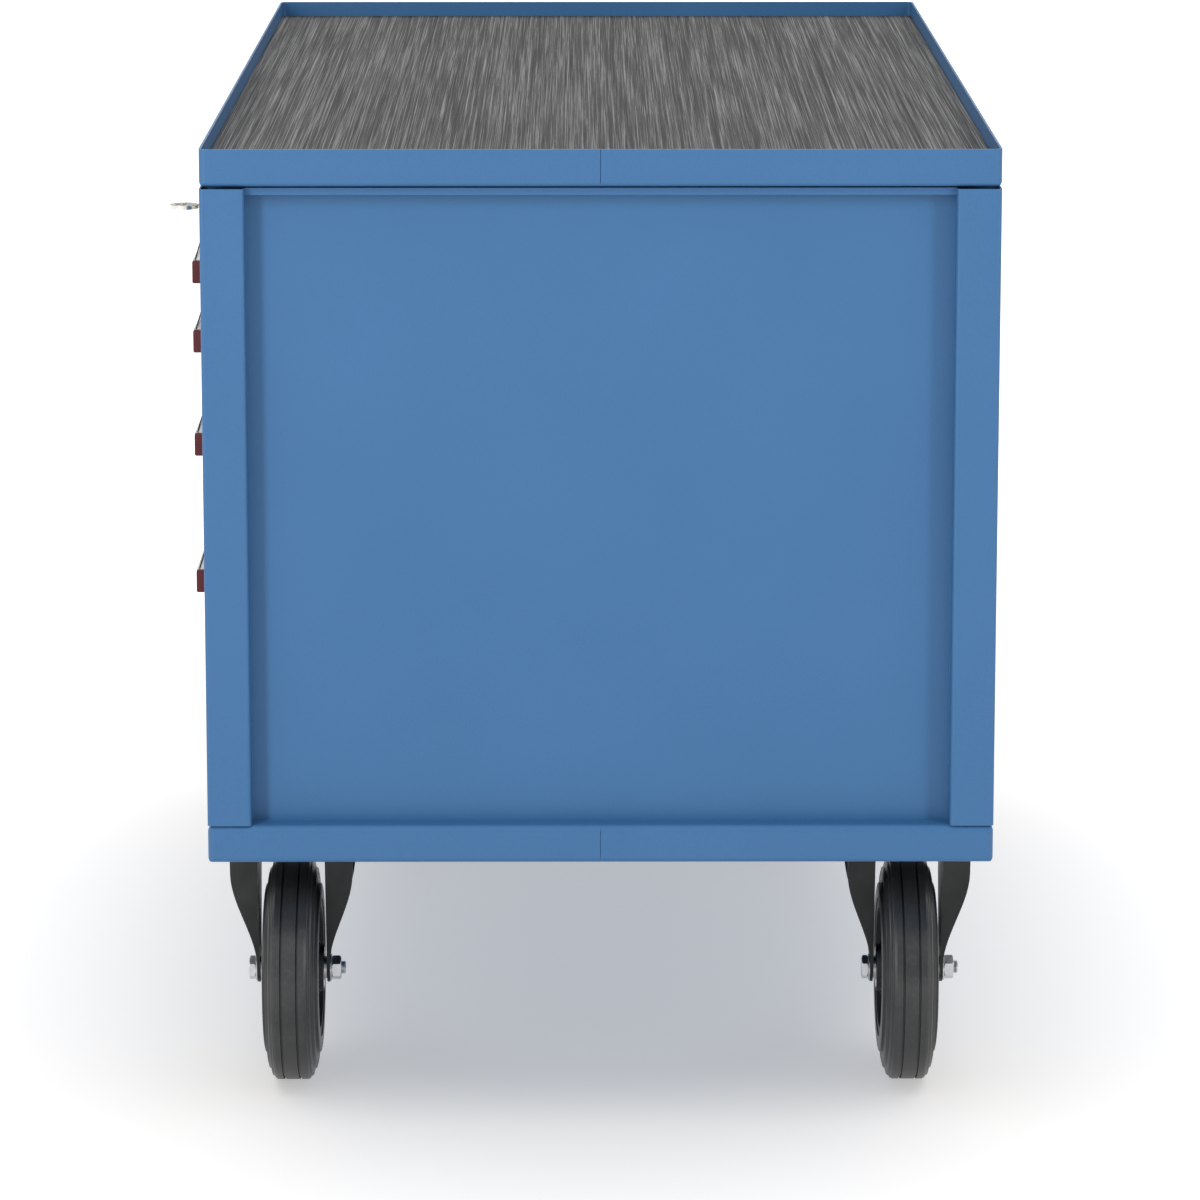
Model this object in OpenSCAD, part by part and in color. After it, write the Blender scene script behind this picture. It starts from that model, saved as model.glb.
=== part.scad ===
/* [Body] */
// Length of the bench
body_l = 1250; // [1100:10:1600]
// Depth of the bench from the front posts to the back posts
body_d = 680; // [660:10:800]
// Height of the base tray's rim
base_h = 33; // [30:1:45]
// Radius of the rolled edges of the base tray
base_roll = 6; // [4:0.5:8]
// Size of a corner post along the bench's length
post_x = 35; // [30:1:45]
// Size of a corner post along the bench's depth
post_y = 38; // [34:1:45]
// How far the end panels lie inside the ends of the posts
panel_recess = 23; // [15:1:28]
// Thickness of the sheet steel
sheet = 1.5; // [1.2:0.1:2]

/* [Worktop] */
// Height of the top tray from its lower edge to the top of its lip
tray_h = 32; // [30:1:45]
// Height of the tray's lip above the mat
lip_h = 15; // [10:1:16]
// Thickness of the tray's lip
lip_t = 2; // [1.5:0.5:3]
// Radius of the tray's lower edge
tray_roll = 5; // [3:0.5:6]
// Width of the seam where the two halves of a rim meet
seam_w = 0.8; // [0.5:0.1:1.5]
// Open gap between the posts and the tray
tray_gap = 2; // [1:0.5:4]
// Thickness of the mat
mat_t = 3; // [2:0.5:5]
// Number of stiffeners under the tray
hats = 5; // [3:1:5]

/* [Drawers] */
// Heights of the four drawer spaces, from the top one down
pitches = [60, 90, 120, 240]; // [60:10:300]
// Gap between two drawer fronts
front_gap = 3; // [2:0.5:4]
// Gap between a drawer front and a post
side_gap = 2; // [1.5:0.5:3]
// Depth of a drawer front from its face to its back edge
front_depth = 25; // [24:1:30]
// Depth of a drawer box from front to back
box_d = 600; // [560:10:610]
// How far a drawer opens
drawer_travel = 540; // [400:10:560]
// Height of the rail above the drawers
rail_h = 45; // [40:1:60]

/* [Handles] */
// How far a handle stands out from the drawer front
handle_reach = 9.1; // [8:0.1:14]
// Height of the sloping label face above the handle's lip
label_h = 20; // [16:1:22]
// Height of the handle's lip and its end caps
lip_drop = 19.5; // [16:0.5:20]
// Depth of the finger pocket behind the lip
pocket_d = 12; // [8:1:12]

/* [Lock and key] */
// Distance from the lock's centre to the end of the bench
lock_inset = 60; // [55:1:70]
// How far the key stands out from the posts
key_reach = 29; // [27:1:32]
// Diameter of the key's round bow
bow_dia = 24; // [20:1:24]
// How far the lock bar rises as the key turns
bar_lift = 7; // [5:0.5:7]

/* [Castors] */
// Height from the floor to the base tray
castor_h = 238; // [236:1:250]
// Diameter of the wheels
wheel_dia = 200; // [180:5:200]
// Width of the tyres
tyre_w = 50; // [44:1:50]
// Distance from a castor's centre to the end of the bench
castor_inset_x = 155; // [155:5:200]
// Distance from a castor's centre to the side of the bench
castor_inset_y = 65; // [60:1:90]
// How far a swivel castor's axle trails behind its kingpin
trail = 50; // [40:1:50]
// Gap between the two legs of a fork
fork_gap = 60; // [58:1:70]
// Thickness of a fork's steel
fork_t = 2.5; // [2:0.5:4]
// Clearance between a turning part and its pin
running = 0.05; // [0.02:0.01:0.1]

/* [Hidden] */
$fn = 64;
eps = 0.01;
BLUE = [0.19, 0.36, 0.56];
BLACK = [0.05, 0.05, 0.05];
GREY = [0.35, 0.35, 0.36];
ZINC = [0.75, 0.76, 0.78];
RED = [0.4, 0.08, 0.09];

// the origin is the middle of the whole object on the floor, with the key in its lock
y_front = -(body_d + key_reach) / 2 + key_reach;
y_back = y_front + body_d;
y_mid = (y_front + y_back) / 2;
x_end = body_l / 2;

// heights from the floor up
base_top = castor_h + base_h;
drawers_h = pitches[0] + pitches[1] + pitches[2] + pitches[3];
rail_z = base_top + drawers_h;
post_top = rail_z + rail_h;
tray_z = post_top + tray_gap;
tray_floor = tray_h - lip_h - mat_t;
corner_r = 6;
flange_in = 40;

// folded sheets are cut through at their folds by this much, so that each flat is a solid of its own
fold_cut = 0.02;

// the space between the posts, where the drawers run
opening_w = body_l - 2 * post_x;
front_w = opening_w - 2 * side_gap;
panel_x = x_end - panel_recess;

// telescopic slides: depth across the gap, and half-heights of the three nested members
slide_depth = 13;
slide_half = [15, 13, 11];
slide_l = box_d;
slide_rise = 21;
box_w = opening_w - 2 * slide_depth;
box_y = y_front + front_depth;
box_lift = 4;
box_cut = 16;

// lock
lock_x = x_end - lock_inset;
lock_z = rail_z + rail_h / 2;
plug_r = 8;
plug_out = 3.5;
housing_back = y_front + front_depth;
cam_t = 3;
cam_pin_r = 2;
cam_reach = bar_lift / (2 * sin(45));
key_t = 2;
blade_w = 7;
bar_y = y_front + 15.5;
hook_rise = 45;

// castors
wheel_r = wheel_dia / 2;
axle_z = wheel_r;
sleeve_r = 10;
bolt_r = 6;
hub_r = 21;
hub_l = fork_gap - 6;
bead_r = 0.62 * wheel_r;
plate_l = 140;
plate_w = 110;
plate_t = 4;
crown_z = castor_h - plate_t;
hole_x = 105;
hole_y = 80;
mount_r = 5;
castor_x = x_end - castor_inset_x;
castor_y = body_d / 2 - castor_inset_y;

module rounded_box_2d(w, d, r) {
    square([w - 2 * r, d], center = true);
    square([w, d - 2 * r], center = true);
    for (x = [-1, 1], y = [-1, 1])
        translate([x * (w / 2 - r), y * (d / 2 - r)])
            circle(r);
}

// a strip with both of its corners round, used at the lower or the upper edge of a rim
module corner_band(w, r, centre, bottom) {
    translate([r - w / 2, bottom])
        square([w - 2 * r, r]);
    for (side = [-1, 1])
        translate([side * (w / 2 - r), centre])
            circle(r);
}

// outline of a rim w wide and h tall, with its lower and upper corners rounded
module rim_outline(w, h, low, high) {
    translate([-w / 2, low])
        square([w, h - low - high]);
    if (low > 0)
        corner_band(w, low, low, 0);
    if (high > 0)
        corner_band(w, high, h - high, h - high);
}

// a slab whose four sides all have the rim's outline, and whose upright corners are round
module rolled_slab(l, w, h, low, high, plan) {
    intersection() {
        rotate([90, 0, 90])
            linear_extrude(l + 2, center = true)
                rim_outline(w, h, low, high);
        rotate([90, 0, 0])
            linear_extrude(w + 2, center = true)
                rim_outline(l, h, low, high);
        translate([0, 0, -1])
            linear_extrude(h + 2)
                rounded_box_2d(l, w, plan);
    }
}

// the short sides of a rim are made of two halves that meet in a narrow seam
module rim_seams(h) {
    for (side = [-1, 1])
        translate([side * x_end - 1, -seam_w / 2, -1])
            cube([2, seam_w, h + 2]);
}

// the flat floor of the base tray ends where the flange above it begins
module floor_cut() {
    l = body_l - 2 * flange_in;
    w = body_d - 2 * flange_in;
    translate([0, 0, -1])
        linear_extrude(sheet + 2)
            difference() {
                square([l + 2 * fold_cut, w + 2 * fold_cut], center = true);
                square([l, w], center = true);
            }
}

module castor_holes(r) {
    for (x = [-1, 1], y = [-1, 1])
        translate([x * castor_x, y_mid + y * castor_y, 0])
            for (i = [-1, 1], j = [-1, 1])
                translate([i * hole_x / 2, j * hole_y / 2, castor_h - 20])
                    cylinder(h = 40, r = r);
}

module base_tray() {
    color(BLUE)
        difference() {
            translate([0, y_mid, castor_h])
                difference() {
                    rolled_slab(body_l, body_d, base_h, base_roll - 1, base_roll, corner_r);
                    translate([0, 0, sheet])
                        rolled_slab(body_l - 2 * sheet, body_d - 2 * sheet, base_h - 2 * sheet,
                                    base_roll - 2, base_roll - 1, corner_r - sheet);
                    translate([-x_end + flange_in, -body_d / 2 + flange_in, base_h / 2])
                        cube([body_l - 2 * flange_in, body_d - 2 * flange_in, base_h]);
                    rim_seams(base_h);
                    floor_cut();
                }
            castor_holes(mount_r + 0.5);
        }
}

module post_tube(side, end) {
    translate([side * (x_end - post_x / 2), y_mid + end * (body_d - post_y) / 2, base_top])
        linear_extrude(post_top - base_top)
            difference() {
                rounded_box_2d(post_x, post_y, 3);
                rounded_box_2d(post_x - 2 * sheet, post_y - 2 * sheet, 3 - sheet);
            }
}

module post_front_left() {
    color(BLUE)
        post_tube(-1, -1);
}

// this post guides the lock bar: slots in its inner wall let the hooks and the arm through
module post_front_right() {
    color(BLUE)
        difference() {
            post_tube(1, -1);
            for (i = [0:3])
                translate([opening_w / 2 - 5, bar_y - 2, floor_z(i) + hook_rise - 3])
                    cube([10, 8, bar_lift + 10]);
            translate([opening_w / 2 - 5, bar_y + 12, lock_z - 14])
                cube([10, 7, bar_lift + 18]);
        }
}

module post_back_left() {
    color(BLUE)
        post_tube(-1, 1);
}

module post_back_right() {
    color(BLUE)
        post_tube(1, 1);
}

// an end panel with a foot flange and a top flange that carries the tray's stiffeners
module side_panel(side) {
    width = body_d - 2 * post_y;
    color(BLUE)
        mirror([side < 0 ? 1 : 0, 0, 0])
            translate([panel_x, y_mid - width / 2, base_top]) {
                translate([-sheet, 0, 0])
                    cube([sheet, width, post_top - base_top]);
                translate([-20, 0, 0])
                    cube([20, width, sheet]);
                translate([-22, 0, post_top - base_top - sheet])
                    cube([panel_recess - 10 + 22, width, sheet]);
                translate([panel_recess - 10 - sheet, 0, post_top - base_top - 6])
                    cube([sheet, width, 6]);
            }
}

module side_panel_left() {
    side_panel(-1);
}

module side_panel_right() {
    side_panel(1);
}

module back_panel() {
    color(BLUE)
        translate([-opening_w / 2, y_back - 3 - sheet, base_top]) {
            cube([opening_w, sheet, post_top - base_top]);
            translate([0, -25, post_top - base_top - sheet])
                cube([opening_w, 25 + sheet, sheet]);
            translate([0, -25, 0])
                cube([opening_w, 25 + sheet, sheet]);
        }
}

module front_rail() {
    color(BLUE)
        difference() {
            translate([-opening_w / 2, y_front, rail_z]) {
                cube([opening_w, sheet, rail_h]);
                cube([opening_w, 30, sheet]);
                translate([0, 0, rail_h - sheet])
                    cube([opening_w, 30, sheet]);
            }
            translate([lock_x, y_front + 5, lock_z])
                rotate([90, 0, 0])
                    cylinder(h = 10, r = plug_r + 3.1);
        }
}

// the tray is a pan with a lip above its floor, a skirt below, and stiffeners welded underneath
module top_tray() {
    inner_l = body_l - 2 * lip_t;
    inner_d = body_d - 2 * lip_t;
    hat_w = 40;
    hat_pitch = (body_d - 120) / (hats - 1) - 10;
    color(BLUE)
        translate([0, y_mid, tray_z]) {
            difference() {
                rolled_slab(body_l, body_d, tray_h, tray_roll, 0, corner_r);
                translate([0, 0, tray_floor])
                    linear_extrude(tray_h)
                        rounded_box_2d(inner_l, inner_d, corner_r - lip_t);
                translate([-inner_l / 2, -inner_d / 2, lip_t])
                    cube([inner_l, inner_d, tray_floor - 2 * lip_t]);
                translate([25 - x_end, 25 - body_d / 2, -1])
                    cube([body_l - 50, body_d - 50, lip_t + 2]);
                rim_seams(tray_h);
            }
            for (i = [0:hats - 1])
                translate([30 - x_end, (i - (hats - 1) / 2) * hat_pitch - hat_w / 2, -tray_gap])
                    difference() {
                        cube([body_l - 60, hat_w, tray_floor - lip_t + tray_gap + 1]);
                        translate([-1, sheet, sheet])
                            cube([body_l, hat_w - 2 * sheet, tray_floor - lip_t + tray_gap - sheet]);
                    }
        }
}

module worktop_mat() {
    color(GREY)
        translate([0, y_mid, tray_z + tray_floor])
            linear_extrude(mat_t)
                rounded_box_2d(body_l - 2 * lip_t - 1, body_d - 2 * lip_t - 1, corner_r - lip_t);
}

// floor height of drawer space i, counted from the top one down
function floor_z(i) = i == 0 ? rail_z - pitches[0] : floor_z(i - 1) - pitches[i];

function front_h(i) = pitches[i] - front_gap;

// C-shaped section of a slide member: s runs from the post towards the drawer
module channel(web, from, to, half) {
    translate([web, -half])
        square([sheet, 2 * half]);
    for (z = [-half, half - sheet])
        translate([from, z])
            square([to - from, sheet]);
}

// member 0 is fixed to the posts, 1 is the middle one and 2 is fixed to the drawer
module slide_member(i, member) {
    from = [0, 3, 6];
    to = [9, 10.5, slide_depth];
    web = [0, 3, slide_depth - sheet];
    color(ZINC)
        for (side = [0, 1])
            mirror([side, 0, 0])
                translate([-opening_w / 2, box_y + 4, floor_z(i) + slide_rise])
                    rotate([90, 0, 0])
                        translate([0, 0, 4 - slide_l])
                            linear_extrude(slide_l - 4)
                                channel(web[member], from[member], to[member], slide_half[member]);
}

module cabinet_slides() {
    for (i = [0:3])
        slide_member(i, 0);
}

module drawer_box(i) {
    height = pitches[i] - box_cut;
    color(BLUE)
        translate([-box_w / 2, box_y, floor_z(i) + box_lift])
            difference() {
                cube([box_w, box_d, height]);
                translate([sheet, sheet, sheet])
                    cube([box_w - 2 * sheet, box_d - 2 * sheet, height]);
            }
}

// folded section of a drawer front: y runs inwards from its face, with the finger pocket near the top
module front_section(h) {
    roof = h - label_h - 2;
    foot = h - label_h - lip_drop - 2.5;
    sill = foot - 8;
    slope = sheet * (norm([pocket_d, 8]) - 8) / pocket_d;
    difference() {
        polygon([
            [0, 0], [0, sill], [pocket_d, foot], [pocket_d, roof], [0, roof], [0, h],
            [front_depth, h], [front_depth, h - sheet], [sheet, h - sheet], [sheet, roof + sheet],
            [pocket_d + sheet, roof + sheet], [pocket_d + sheet, foot - slope], [sheet, sill - slope],
            [sheet, sheet], [front_depth, sheet], [front_depth, 0]
        ]);
        for (z = [sheet, roof + sheet, h - sheet - fold_cut])
            translate([-1, z])
                square([sheet + 2, fold_cut]);
        translate([sheet, sill - slope - 1])
            square([fold_cut, slope + 4]);
        translate([pocket_d - fold_cut, foot - slope - 3])
            square([fold_cut, slope + 4]);
        translate([pocket_d - 1, roof - fold_cut])
            square([sheet + 2, fold_cut]);
    }
}

// the right end plate has an L-shaped slot: the lock's hook leaves it only in its lower arm
module hook_slot() {
    translate([front_w / 2 - 5, bar_y - 1, hook_rise - front_gap / 2 - 1])
        cube([10, front_depth, 6]);
    translate([front_w / 2 - 5, bar_y - 1, hook_rise - front_gap / 2 - 1])
        cube([10, 6, bar_lift + 6]);
}

module drawer_front(i) {
    h = front_h(i);
    color(BLUE)
        translate([0, 0, floor_z(i) + front_gap / 2])
            difference() {
                translate([0, y_front, 0]) {
                    rotate([90, 0, 90])
                        linear_extrude(front_w - 2 * sheet - 2 * fold_cut, center = true)
                            front_section(h);
                    for (side = [0, 1])
                        mirror([side, 0, 0])
                            translate([front_w / 2 - sheet, 0, 0])
                                cube([sheet, front_depth, h]);
                }
                hook_slot();
            }
}

// section of a handle: a sloping label face over a hollow, and a lip that hangs in front of the pocket
module handle_section(h) {
    lip_top = h - label_h;
    lean = (handle_reach - 2.1) / (label_h - 1);
    skin = 1.2;
    difference() {
        polygon([
            [0, h], [handle_reach - 2.1, lip_top + 1], [handle_reach - 2.1, lip_top],
            [handle_reach, lip_top], [handle_reach, lip_top - lip_drop],
            [handle_reach - sheet, lip_top - lip_drop], [handle_reach - sheet, lip_top - sheet],
            [0, lip_top - sheet]
        ]);
        polygon([
            [skin, h - (skin + skin * norm([1, lean])) / lean],
            [label_h * lean - skin * norm([1, lean]), lip_top],
            [skin, lip_top]
        ]);
        translate([handle_reach - sheet - fold_cut, lip_top - sheet - 1])
            square([fold_cut, sheet + 2]);
    }
}

module handle_strip(i) {
    length = front_w - 8;
    color(ZINC)
        translate([length / 2, y_front, floor_z(i) + front_gap / 2])
            rotate([90, 0, -90])
                linear_extrude(length)
                    handle_section(front_h(i));
}

module handle_caps(i) {
    cap_t = 4;
    lip_top = front_h(i) - label_h;
    color(RED)
        for (side = [0, 1])
            mirror([side, 0, 0])
                translate([front_w / 2, y_front - handle_reach / 2, floor_z(i) + front_gap / 2])
                    rotate([90, 0, -90])
                        translate([0, lip_top - lip_drop / 2, 0])
                            linear_extrude(cap_t)
                                rounded_box_2d(handle_reach, lip_drop, 1.5);
}

module lock_housing() {
    color(ZINC)
        translate([lock_x, housing_back, lock_z])
            rotate([90, 0, 0])
                difference() {
                    union() {
                        cylinder(h = front_depth, r = plug_r + 3);
                        translate([0, 0, front_depth])
                            cylinder(h = 3, r = plug_r + 6);
                    }
                    translate([0, 0, -1])
                        cylinder(h = front_depth + 5, r = plug_r + running);
                }
}

// the plug turns in the housing; the pin of its cam lifts the lock bar
module lock_plug() {
    color(ZINC)
        translate([lock_x, 0, lock_z]) {
            difference() {
                translate([0, housing_back, 0])
                    rotate([90, 0, 0])
                        cylinder(h = front_depth + plug_out, r = plug_r);
                translate([-blade_w / 2 - 0.3, y_front - plug_out - 1, -key_t / 2 - 0.3])
                    cube([blade_w + 0.6, 24, key_t + 0.6]);
            }
            translate([0, housing_back + 0.3 + cam_t, 0])
                rotate([90, 0, 0])
                    cylinder(h = cam_t, r = plug_r + 1.5);
            translate([0, housing_back + 1, 0])
                rotate([90, 0, 0])
                    cylinder(h = 2, r = plug_r - 2);
            translate([cam_reach * cos(45), housing_back + 10, -cam_reach * sin(45)])
                rotate([90, 0, 0])
                    cylinder(h = 8, r = cam_pin_r);
        }
}

// a flat key: a round bow with a ring hole and a straight blade
module key() {
    bow_y = y_front - key_reach + bow_dia / 2;
    color(ZINC)
        translate([lock_x, 0, lock_z - key_t / 2])
            difference() {
                union() {
                    translate([0, bow_y, 0])
                        cylinder(h = key_t, r = bow_dia / 2);
                    translate([-blade_w / 2, bow_y, 0])
                        cube([blade_w, y_front + 18 - bow_y, key_t]);
                }
                translate([0, bow_y - bow_dia / 2 + 4, -1])
                    cylinder(h = key_t + 2, r = 2);
            }
}

// the bar slides up and down in the right front post; it carries a hook for each drawer and a slotted arm
module lock_bar() {
    bar_x = opening_w / 2 + 6;
    arm_y = housing_back + 5;
    arm_z = lock_z - cam_reach * sin(45);
    color(ZINC)
        difference() {
            union() {
                translate([bar_x, bar_y - 1, floor_z(3) + 14])
                    cube([3, arm_y + 4 - bar_y, arm_z + 7 - floor_z(3) - 14]);
                translate([lock_x - 3, arm_y, arm_z - 7])
                    cube([bar_x + 3 - lock_x + 3, 3, 14]);
                for (i = [0:3])
                    translate([front_w / 2 - 4, bar_y, floor_z(i) + hook_rise])
                        cube([bar_x - front_w / 2 + 5, 4, 4]);
            }
            translate([lock_x + 1, arm_y - 1, arm_z - cam_pin_r - 0.5])
                cube([cam_reach + cam_pin_r + 2, 5, 2 * cam_pin_r + 1]);
        }
}

function leg_tangent(x, z, r) = atan2(x, z) + acos(r / norm([x, z]));

// upright outline of a fork's leg around its axle: straight sides run into the round foot,
// tangent to a circle slightly smaller than the foot so that they cross its edge cleanly
module leg_outline(x_low, x_high, z, foot) {
    r = foot - 0.1;
    a = leg_tangent(-x_low, z, r);
    b = leg_tangent(x_high, z, r);
    circle(foot);
    polygon([[x_low, z], [-r * sin(a), r * cos(a)], [r * sin(b), r * cos(b)], [x_high, z]]);
}

// the two legs of a fork, and the flanges along their edges, which widen towards the crown
module fork_legs(x_low, x_high, top) {
    foot = 13;
    rise = top - axle_z;
    inner = fork_gap / 2;
    swell = plate_w / 2 - inner - fork_t - 0.5;
    steps = 14;
    flare = [
        for (k = [0:steps])
            let (t = k / steps)
            [inner + fork_t + swell * t * t * (3 - 2 * t), 5 + 90 * t]
    ];
    for (side = [0, 1])
        mirror([0, side, 0]) {
            translate([0, fork_gap / 2 + fork_t, axle_z])
                rotate([90, 0, 0])
                    linear_extrude(fork_t)
                        difference() {
                            leg_outline(x_low, x_high, rise, foot);
                            circle(bolt_r + 0.25);
                        }
            translate([0, 0, axle_z])
                intersection() {
                    translate([0, plate_w, 0])
                        rotate([90, 0, 0])
                            linear_extrude(2 * plate_w)
                                difference() {
                                    leg_outline(x_low, x_high, rise, foot);
                                    leg_outline(x_low + fork_t, x_high - fork_t, rise + eps, foot - fork_t);
                                }
                    rotate([90, 0, 90])
                        linear_extrude(600, center = true)
                            polygon(concat(
                                [[inner + fork_t - 1, 5]],
                                flare,
                                [[inner + fork_t + swell, rise], [inner + fork_t - 1, rise]]
                            ));
                }
        }
}

module plate_2d() {
    difference() {
        rounded_box_2d(plate_l, plate_w, 8);
        for (i = [-1, 1], j = [-1, 1])
            translate([i * hole_x / 2, j * hole_y / 2])
                circle(mount_r + 0.5);
    }
}

module fixed_fork(end) {
    color(BLACK)
        translate([castor_x, y_mid + end * castor_y, 0]) {
            translate([0, 0, crown_z])
                linear_extrude(plate_t)
                    plate_2d();
            translate([-40, -plate_w / 2, crown_z - fork_t])
                cube([80, plate_w, fork_t]);
            fork_legs(-40, 40, crown_z);
        }
}

module fixed_fork_front() {
    fixed_fork(-1);
}

module fixed_fork_back() {
    fixed_fork(1);
}

// top plate of a swivel castor with its race and kingpin
module swivel_plate(end) {
    color(BLACK)
        translate([-castor_x, y_mid + end * castor_y, 0]) {
            translate([0, 0, crown_z])
                linear_extrude(plate_t)
                    plate_2d();
            translate([0, 0, crown_z - 6])
                cylinder(h = 6 + eps, r = 34);
            translate([0, 0, crown_z - 24])
                cylinder(h = 24, r = plug_r);
            translate([0, 0, crown_z - 28])
                cylinder(h = 6, r = 13);
        }
}

module swivel_plate_front() {
    swivel_plate(-1);
}

module swivel_plate_back() {
    swivel_plate(1);
}

// the fork turns on the kingpin; its axle trails behind, and ears in front carry the brake pedal
module swivel_fork(end) {
    crown_top = crown_z - 6.4;
    crown_t = 14.5;
    color(BLACK)
        translate([-castor_x, y_mid + end * castor_y, 0])
            difference() {
                union() {
                    translate([0, 0, crown_top - 8])
                        cylinder(h = 8, r = 38);
                    translate([-76, -plate_w / 2, crown_top - crown_t + 6])
                        cube([154, plate_w, 3]);
                    translate([trail, 0, 0])
                        fork_legs(-76 - trail, 28, crown_top - crown_t + 9);
                    for (side = [-1, 1])
                        translate([-54, side * (fork_gap + fork_t) / 2, crown_z - 44])
                            rotate([90, 0, 0])
                                cylinder(h = fork_t, r = 12, center = true);
                }
                translate([0, 0, crown_top - 30])
                    cylinder(h = 40, r = plug_r + running);
                translate([-54, 0, crown_z - 44])
                    rotate([90, 0, 0])
                        cylinder(h = plate_w + 20, r = 4 + running, center = true);
            }
}

module swivel_fork_front() {
    swivel_fork(-1);
}

module swivel_fork_back() {
    swivel_fork(1);
}

// brake pedal: a tread, a cross pin, two cheeks and a shoe that meets the tyre
module brake_pedal(end) {
    inner = fork_gap / 2 - 1;
    shoe_x = trail - (wheel_r + 6) * cos(30) - 5;
    shoe_z = axle_z + (wheel_r + 6) * sin(30) - 3;
    color(RED)
        translate([-castor_x, y_mid + end * castor_y, 0]) {
            translate([-54, 0, crown_z - 44])
                rotate([90, 0, 0])
                    cylinder(h = fork_gap + 2 * fork_t + 4, r = 4, center = true);
            for (side = [-1, 1])
                translate([0, side * (inner - 1.5) + 1.5, 0])
                    rotate([90, 0, 0])
                        linear_extrude(3)
                            polygon([
                                [-132, crown_z - 44], [-132, crown_z - 38], [-48, crown_z - 35],
                                [-45, crown_z - 42], [shoe_x + 3, shoe_z + 8], [shoe_x - 5, shoe_z],
                                [-66, crown_z - 52]
                            ]);
            translate([-132, -inner, crown_z - 44])
                cube([52, 2 * inner, 6]);
            translate([shoe_x, 0, shoe_z])
                rotate([0, 30, 0])
                    translate([-3, -inner, -6])
                        cube([6, 2 * inner, 12]);
        }
}

module brake_pedal_front() {
    brake_pedal(-1);
}

module brake_pedal_back() {
    brake_pedal(1);
}

module hex_prism(across, h) {
    cylinder(h = h, d = across / cos(30), $fn = 6);
}

module castor_bolts() {
    color(ZINC)
        for (x = [-1, 1], y = [-1, 1], i = [-1, 1], j = [-1, 1])
            translate([
                x * castor_x + i * hole_x / 2,
                y_mid + y * castor_y + j * hole_y / 2,
                crown_z
            ]) {
                translate([0, 0, -6.4])
                    hex_prism(16, 6.4);
                cylinder(h = plate_t + sheet + 12, r = mount_r);
                translate([0, 0, plate_t + sheet])
                    hex_prism(16, 8);
            }
}

// an axle: a bolt with a hexagon head and a nut, and a sleeve that the hub turns on
module axle(x, end) {
    half = fork_gap / 2 + fork_t;
    color(ZINC)
        translate([x, y_mid + end * castor_y, axle_z])
            rotate([90, 0, 0]) {
                cylinder(h = fork_gap, r = sleeve_r, center = true);
                translate([0, 0, -half - 14])
                    cylinder(h = 2 * half + 14, r = bolt_r);
                translate([0, 0, half])
                    rotate([0, 0, 90])
                        hex_prism(19, 7.5);
                translate([0, 0, -half - 10])
                    rotate([0, 0, 90])
                        hex_prism(19, 10);
            }
}

module fixed_axles() {
    axle(castor_x, -1);
    axle(castor_x, 1);
}

module swivel_axle_front() {
    axle(trail - castor_x, -1);
}

module swivel_axle_back() {
    axle(trail - castor_x, 1);
}

module at_wheel(x, end) {
    translate([x, y_mid + end * castor_y, axle_z])
        rotate([90, 0, 0])
            children();
}

// rubber tyre: a wide base, stepped flanks, and a flat tread with two grooves
module tyre(x, end) {
    half = tyre_w / 2;
    // radius and half-width, as shares of the wheel's own, from the bead out to the tread
    flank = [
        [0.66, 1], [0.735, 1], [0.755, 0.98], [0.757, 0.89], [0.83, 0.86], [0.9, 0.81],
        [0.905, 0.775], [0.945, 0.735], [0.965, 0.69], [0.97, 0.655], [0.99, 0.61], [1, 0.53]
    ];
    color(GREY)
        at_wheel(x, end)
            rotate_extrude($fn = 96)
                polygon(concat(
                    [[bead_r, -half]],
                    [for (p = flank) [p[0] * wheel_r, -p[1] * half]],
                    [
                        [wheel_r, -8], [wheel_r - 2, -7.6], [wheel_r - 2, -6.4], [wheel_r, -6],
                        [wheel_r, 6], [wheel_r - 2, 6.4], [wheel_r - 2, 7.6], [wheel_r, 8]
                    ],
                    [for (k = [len(flank) - 1:-1:0]) [flank[k][0] * wheel_r, flank[k][1] * half]],
                    [[bead_r, half]]
                ));
}

// rim: a bead ring that holds the tyre, a web and a hub with its bore
module rim(x, end) {
    half = tyre_w / 2 - 1;
    ring_t = 0.08 * wheel_r;
    web_t = 6;
    color(BLACK)
        at_wheel(x, end)
            rotate_extrude($fn = 96)
                polygon([
                    [sleeve_r + running, -hub_l / 2], [hub_r, -hub_l / 2], [hub_r + 2, -web_t / 2],
                    [bead_r - ring_t - 2, -web_t / 2], [bead_r - ring_t, -half], [bead_r, -half],
                    [bead_r, half], [bead_r - ring_t, half], [bead_r - ring_t - 2, web_t / 2],
                    [hub_r + 2, web_t / 2], [hub_r, hub_l / 2], [sleeve_r + running, hub_l / 2]
                ]);
}

base_tray();
post_front_left();
post_front_right();
post_back_left();
post_back_right();
side_panel_left();
side_panel_right();
back_panel();
front_rail();
top_tray();
worktop_mat();
cabinet_slides();
lock_housing();
lock_plug();
key();
lock_bar();
drawer_box(0);  // drawer_box_1
drawer_front(0);  // drawer_front_1
handle_strip(0);  // handle_strip_1
handle_caps(0);  // handle_caps_1
slide_member(0, 1);  // slide_middle_1
slide_member(0, 2);  // slide_inner_1
drawer_box(1);  // drawer_box_2
drawer_front(1);  // drawer_front_2
handle_strip(1);  // handle_strip_2
handle_caps(1);  // handle_caps_2
slide_member(1, 1);  // slide_middle_2
slide_member(1, 2);  // slide_inner_2
drawer_box(2);  // drawer_box_3
drawer_front(2);  // drawer_front_3
handle_strip(2);  // handle_strip_3
handle_caps(2);  // handle_caps_3
slide_member(2, 1);  // slide_middle_3
slide_member(2, 2);  // slide_inner_3
drawer_box(3);  // drawer_box_4
drawer_front(3);  // drawer_front_4
handle_strip(3);  // handle_strip_4
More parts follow.
